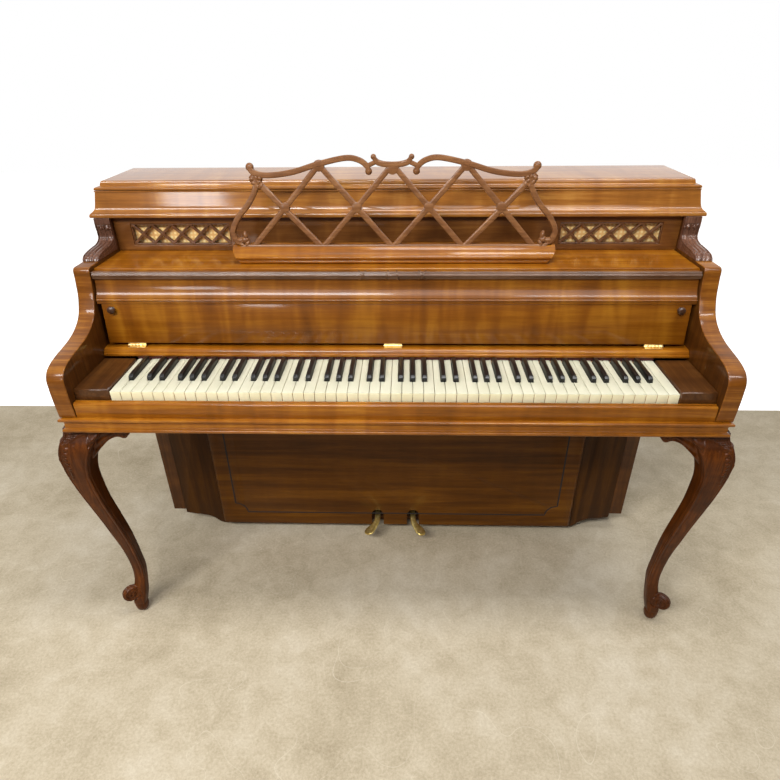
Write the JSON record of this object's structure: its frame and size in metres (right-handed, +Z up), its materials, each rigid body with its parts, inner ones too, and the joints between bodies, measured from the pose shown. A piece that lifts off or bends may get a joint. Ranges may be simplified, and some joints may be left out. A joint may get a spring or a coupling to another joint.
{
  "type": "console piano",
  "caption": "Walnut console piano on cabriole legs, with a hinged lid and fallboard, a fretwork music rack, cloth-backed lattice grilles, working keys and brass pedals.",
  "frame": {"origin": "on the floor, under the centre of the whole instrument's bounding box", "axes": "+X towards the treble end, +Y away from the player to the back of the case, +Z up"},
  "size_m": [1.5266, 0.5848, 1.1736],
  "materials": {
    "walnut": "gloss lacquer",
    "dark_walnut": "satin lacquer",
    "cloth": "woven",
    "felt": "felt",
    "ivory": "plastic-topped, gloss",
    "ebony": "stained, satin",
    "brass": "polished",
    "plain_wood": "bare",
    "spruce": "varnished",
    "bronzed_iron": "bronzed",
    "steel": "plated"
  },
  "bodies": {
    "case": {"arm_left": "walnut", "arm_right": "walnut", "back_frame": "plain_wood", "bottom_board": "plain_wood", "case_side_left": "walnut", "case_side_right": "walnut", "grille_cloth_left": "cloth", "grille_cloth_right": "cloth", "grille_left": "dark_walnut", "grille_right": "dark_walnut", "hammer_action": "plain_wood", "iron_plate": "bronzed_iron", "key_block_left": "walnut", "key_block_right": "walnut", "key_frame": "plain_wood", "keybed": "walnut", "keybed_moulding": "walnut", "keyslip": "walnut", "leg_left": "walnut", "leg_right": "walnut", "lid_hinge": "brass", "lower_panel": "walnut", "lower_side_left": "walnut", "lower_side_right": "walnut", "music_rack": "dark_walnut", "music_shelf": "walnut", "nameboard_felt": "felt", "nameboard_rail": "walnut", "rack_ledge": "walnut", "rear_glide_left": "steel", "rear_glide_right": "steel", "scroll_bracket_left": "dark_walnut", "scroll_bracket_right": "dark_walnut", "soundboard": "spruce", "top_frieze": "walnut", "upper_panel": "walnut"},
    "lid": {"lid": "walnut"},
    "fallboard": {"fallboard": "walnut", "fallboard_nose": "walnut", "stop_button_left": "ebony", "stop_button_right": "ebony", "fallboard_hinge_left": "brass", "fallboard_hinge_middle": "brass", "fallboard_hinge_right": "brass"},
    "pedal_left": {"pedal_left": "brass"},
    "pedal_right": {"pedal_right": "brass"},
    "pedal_dowel_left": {"pedal_dowel_left": "plain_wood"},
    "pedal_dowel_right": {"pedal_dowel_right": "plain_wood"},
    "key_c": {"key_c": "ivory"},
    "key_c_sharp": {"key_c_sharp": "ebony"},
    "key_d": {"key_d": "ivory"},
    "key_d_sharp": {"key_d_sharp": "ebony"},
    "key_e": {"key_e": "ivory"},
    "key_f": {"key_f": "ivory"},
    "key_f_sharp": {"key_f_sharp": "ebony"},
    "key_g": {"key_g": "ivory"},
    "key_g_sharp": {"key_g_sharp": "ebony"},
    "key_a": {"key_a": "ivory"},
    "key_a_sharp": {"key_a_sharp": "ebony"},
    "key_b": {"key_b": "ivory"}
  },
  "joints": [
    {"name": "lid_hinge_turn", "type": "hinge", "parent": "case", "child": "lid", "pos_m": [0, 0.2894, 1.08], "axis": [-1, 0, 0], "range_deg": [0, 98]},
    {"name": "fallboard_turn", "type": "hinge", "parent": "case", "child": "fallboard", "pos_m": [0, -0.0921, 0.763], "axis": [1, 0, 0], "range_deg": [0, 103.2]},
    {"name": "pedal_left_press", "type": "hinge", "parent": "case", "child": "pedal_left", "pos_m": [-0.057, 0.1139, 0.07], "axis": [1, 0, 0], "range_deg": [0, 7.5], "stiffness_Nm_per_rad": 5, "springref_deg": -22.92},
    {"name": "pedal_dowel_left_lift", "type": "slide", "parent": "case", "child": "pedal_dowel_left", "axis": [0, 0, 1], "range_m": [0, 0.0048]},
    {"name": "pedal_right_press", "type": "hinge", "parent": "case", "child": "pedal_right", "pos_m": [0.057, 0.1139, 0.07], "axis": [1, 0, 0], "range_deg": [0, 7.5], "stiffness_Nm_per_rad": 5, "springref_deg": -22.92},
    {"name": "pedal_dowel_right_lift", "type": "slide", "parent": "case", "child": "pedal_dowel_right", "axis": [0, 0, 1], "range_m": [0, 0.0048]},
    {"name": "key_c_dip", "type": "hinge", "parent": "case", "child": "key_c", "pos_m": [-0.05889, -0.0591, 0.708], "axis": [1, 0, 0], "range_deg": [0, 2.6], "stiffness_Nm_per_rad": 0.25, "springref_deg": -28.65},
    {"name": "key_c_sharp_dip", "type": "hinge", "parent": "case", "child": "key_c_sharp", "pos_m": [-0.04932, -0.0591, 0.708], "axis": [1, 0, 0], "range_deg": [0, 2.6], "stiffness_Nm_per_rad": 0.25, "springref_deg": -28.65},
    {"name": "key_d_dip", "type": "hinge", "parent": "case", "child": "key_d", "pos_m": [-0.03534, -0.0591, 0.708], "axis": [1, 0, 0], "range_deg": [0, 2.6], "stiffness_Nm_per_rad": 0.25, "springref_deg": -28.65},
    {"name": "key_d_sharp_dip", "type": "hinge", "parent": "case", "child": "key_d_sharp", "pos_m": [-0.02136, -0.0591, 0.708], "axis": [1, 0, 0], "range_deg": [0, 2.6], "stiffness_Nm_per_rad": 0.25, "springref_deg": -28.65},
    {"name": "key_e_dip", "type": "hinge", "parent": "case", "child": "key_e", "pos_m": [-0.01178, -0.0591, 0.708], "axis": [1, 0, 0], "range_deg": [0, 2.6], "stiffness_Nm_per_rad": 0.25, "springref_deg": -28.65},
    {"name": "key_f_dip", "type": "hinge", "parent": "case", "child": "key_f", "pos_m": [0.01178, -0.0591, 0.708], "axis": [1, 0, 0], "range_deg": [0, 2.6], "stiffness_Nm_per_rad": 0.25, "springref_deg": -28.65},
    {"name": "key_f_sharp_dip", "type": "hinge", "parent": "case", "child": "key_f_sharp", "pos_m": [0.02056, -0.0591, 0.708], "axis": [1, 0, 0], "range_deg": [0, 2.6], "stiffness_Nm_per_rad": 0.25, "springref_deg": -28.65},
    {"name": "key_g_dip", "type": "hinge", "parent": "case", "child": "key_g", "pos_m": [0.03534, -0.0591, 0.708], "axis": [1, 0, 0], "range_deg": [0, 2.6], "stiffness_Nm_per_rad": 0.25, "springref_deg": -28.65},
    {"name": "key_g_sharp_dip", "type": "hinge", "parent": "case", "child": "key_g_sharp", "pos_m": [0.04712, -0.0591, 0.708], "axis": [1, 0, 0], "range_deg": [0, 2.6], "stiffness_Nm_per_rad": 0.25, "springref_deg": -28.65},
    {"name": "key_a_dip", "type": "hinge", "parent": "case", "child": "key_a", "pos_m": [0.05889, -0.0591, 0.708], "axis": [1, 0, 0], "range_deg": [0, 2.6], "stiffness_Nm_per_rad": 0.25, "springref_deg": -28.65},
    {"name": "key_a_sharp_dip", "type": "hinge", "parent": "case", "child": "key_a_sharp", "pos_m": [0.07367, -0.0591, 0.708], "axis": [1, 0, 0], "range_deg": [0, 2.6], "stiffness_Nm_per_rad": 0.25, "springref_deg": -28.65},
    {"name": "key_b_dip", "type": "hinge", "parent": "case", "child": "key_b", "pos_m": [0.08245, -0.0591, 0.708], "axis": [1, 0, 0], "range_deg": [0, 2.6], "stiffness_Nm_per_rad": 0.25, "springref_deg": -28.65}
  ],
  "couplings": [
    {"joint": "pedal_dowel_left_lift", "follows": "pedal_left_press", "m_per_rad": 0.036},
    {"joint": "pedal_dowel_right_lift", "follows": "pedal_right_press", "m_per_rad": 0.036}
  ]
}
